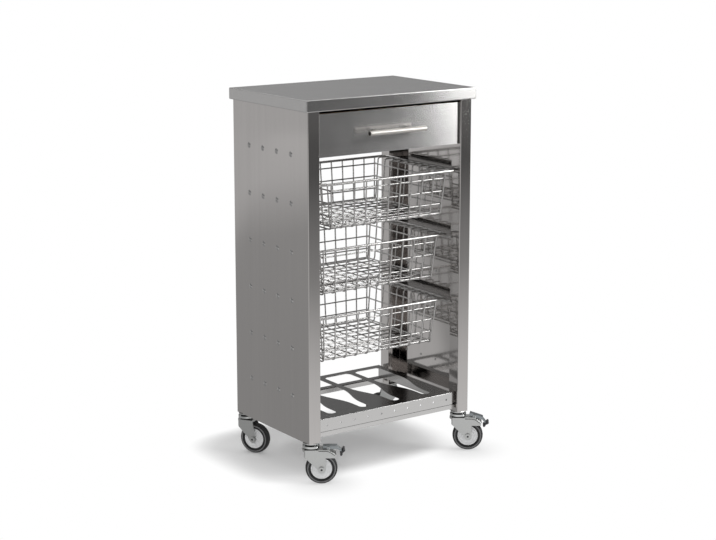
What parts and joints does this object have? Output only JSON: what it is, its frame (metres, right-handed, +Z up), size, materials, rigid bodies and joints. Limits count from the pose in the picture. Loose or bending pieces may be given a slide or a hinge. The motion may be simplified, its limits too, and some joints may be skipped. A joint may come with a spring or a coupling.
{
  "type": "kitchen cart",
  "caption": "Stainless steel kitchen cart with a worktop, a drawer, sliding wire baskets, a bottle shelf with bottle-shaped cut-outs and braked swivel casters.",
  "frame": {"origin": "on the floor under the centre of the worktop", "axes": "+Z up, +X to the right seen from the front, the drawer opens towards -Y"},
  "size_m": [0.5296, 0.3876, 0.9],
  "materials": {
    "worktop_steel": "satin brushed",
    "panel_steel": "satin brushed",
    "drawer_steel": "bright brushed",
    "runner_steel": "satin",
    "shelf_steel": "satin brushed",
    "tray_steel": "zinc plated",
    "rivet_steel": "polished",
    "fastener_steel": "zinc plated",
    "handle_nickel": "satin nickel",
    "basket_wire": "bright plated",
    "caster_zinc": "zinc plated",
    "hub_grey": "moulded",
    "tyre_black": "moulded rubber",
    "brake_steel": "zinc plated",
    "brake_tread": "moulded",
    "core_board": "particle board"
  },
  "bodies": {
    "cart": {"worktop": "worktop_steel", "worktop_board": "core_board", "worktop_screws": "fastener_steel", "left_side_panel": "panel_steel", "right_side_panel": "panel_steel", "left_panel_rivets": "rivet_steel", "right_panel_rivets": "rivet_steel", "rear_top_panel": "panel_steel", "left_cabinet_slide": "tray_steel", "right_cabinet_slide": "tray_steel", "left_top_runner": "runner_steel", "right_top_runner": "runner_steel", "left_middle_runner": "runner_steel", "right_middle_runner": "runner_steel", "left_bottom_runner": "runner_steel", "right_bottom_runner": "runner_steel", "bottle_shelf": "shelf_steel", "front_rail": "shelf_steel", "rear_rail": "shelf_steel", "rail_bolts": "fastener_steel", "caster_heads": "caster_zinc", "caster_kingpins": "caster_zinc", "caster_plates": "caster_zinc"},
    "drawer": {"drawer_front": "drawer_steel", "drawer_box": "tray_steel", "left_drawer_slide": "tray_steel", "right_drawer_slide": "tray_steel", "handle_bar": "handle_nickel", "handle_posts": "handle_nickel", "handle_screws": "fastener_steel"},
    "top_basket": {"top_basket_rim": "basket_wire", "top_basket_mesh": "basket_wire"},
    "middle_basket": {"middle_basket_rim": "basket_wire", "middle_basket_mesh": "basket_wire"},
    "bottom_basket": {"bottom_basket_rim": "basket_wire", "bottom_basket_mesh": "basket_wire"},
    "front_left_caster": {"front_left_fork": "caster_zinc", "front_left_axle": "caster_zinc"},
    "front_left_wheel": {"front_left_hub": "hub_grey", "front_left_tyre": "tyre_black"},
    "front_left_brake": {"front_left_brake_pedal": "brake_steel", "front_left_brake_pad": "brake_tread"},
    "front_right_caster": {"front_right_fork": "caster_zinc", "front_right_axle": "caster_zinc"},
    "front_right_wheel": {"front_right_hub": "hub_grey", "front_right_tyre": "tyre_black"},
    "front_right_brake": {"front_right_brake_pedal": "brake_steel", "front_right_brake_pad": "brake_tread"},
    "rear_left_caster": {"rear_left_fork": "caster_zinc", "rear_left_axle": "caster_zinc"},
    "rear_left_wheel": {"rear_left_hub": "hub_grey", "rear_left_tyre": "tyre_black"},
    "rear_right_caster": {"rear_right_fork": "caster_zinc", "rear_right_axle": "caster_zinc"},
    "rear_right_wheel": {"rear_right_hub": "hub_grey", "rear_right_tyre": "tyre_black"}
  },
  "joints": [
    {"name": "drawer_slide", "type": "slide", "parent": "cart", "child": "drawer", "axis": [0, -1, 0], "range_m": [0, 0.22]},
    {"name": "top_basket_slide", "type": "slide", "parent": "cart", "child": "top_basket", "axis": [0, -1, 0], "range_m": [-0.033, 0.12]},
    {"name": "middle_basket_slide", "type": "slide", "parent": "cart", "child": "middle_basket", "axis": [0, -1, 0], "range_m": [0, 0.15]},
    {"name": "bottom_basket_slide", "type": "slide", "parent": "cart", "child": "bottom_basket", "axis": [0, -1, 0], "range_m": [0, 0.15]},
    {"name": "front_left_swivel", "type": "hinge", "parent": "cart", "child": "front_left_caster", "pos_m": [-0.218, -0.1419, 0.09], "axis": [0, 0, 1], "continuous": true},
    {"name": "front_left_wheel_spin", "type": "hinge", "parent": "front_left_caster", "child": "front_left_wheel", "pos_m": [-0.19787, -0.15497, 0.0375], "axis": [0.5446, 0.8387, 0], "continuous": true},
    {"name": "front_left_brake_press", "type": "hinge", "parent": "front_left_caster", "child": "front_left_brake", "pos_m": [-0.18445, -0.16369, 0.087], "axis": [0.5446, 0.8387, 0], "range_deg": [0, 18]},
    {"name": "front_right_swivel", "type": "hinge", "parent": "cart", "child": "front_right_caster", "pos_m": [0.218, -0.1419, 0.09], "axis": [0, 0, 1], "continuous": true},
    {"name": "front_right_wheel_spin", "type": "hinge", "parent": "front_right_caster", "child": "front_right_wheel", "pos_m": [0.23691, -0.15668, 0.0375], "axis": [0.6157, 0.788, 0], "continuous": true},
    {"name": "front_right_brake_press", "type": "hinge", "parent": "front_right_caster", "child": "front_right_brake", "pos_m": [0.24952, -0.16653, 0.087], "axis": [0.6157, 0.788, 0], "range_deg": [-18, 0]},
    {"name": "rear_left_swivel", "type": "hinge", "parent": "cart", "child": "rear_left_caster", "pos_m": [-0.218, 0.1449, 0.09], "axis": [0, 0, 1], "continuous": true},
    {"name": "rear_left_wheel_spin", "type": "hinge", "parent": "rear_left_caster", "child": "rear_left_wheel", "pos_m": [-0.20528, 0.12455, 0.0375], "axis": [0.848, 0.5299, 0], "continuous": true},
    {"name": "rear_right_swivel", "type": "hinge", "parent": "cart", "child": "rear_right_caster", "pos_m": [0.218, 0.1449, 0.09], "axis": [0, 0, 1], "continuous": true},
    {"name": "rear_right_wheel_spin", "type": "hinge", "parent": "rear_right_caster", "child": "rear_right_wheel", "pos_m": [0.19834, 0.15867, 0.0375], "axis": [-0.5736, -0.8192, 0], "continuous": true}
  ]
}
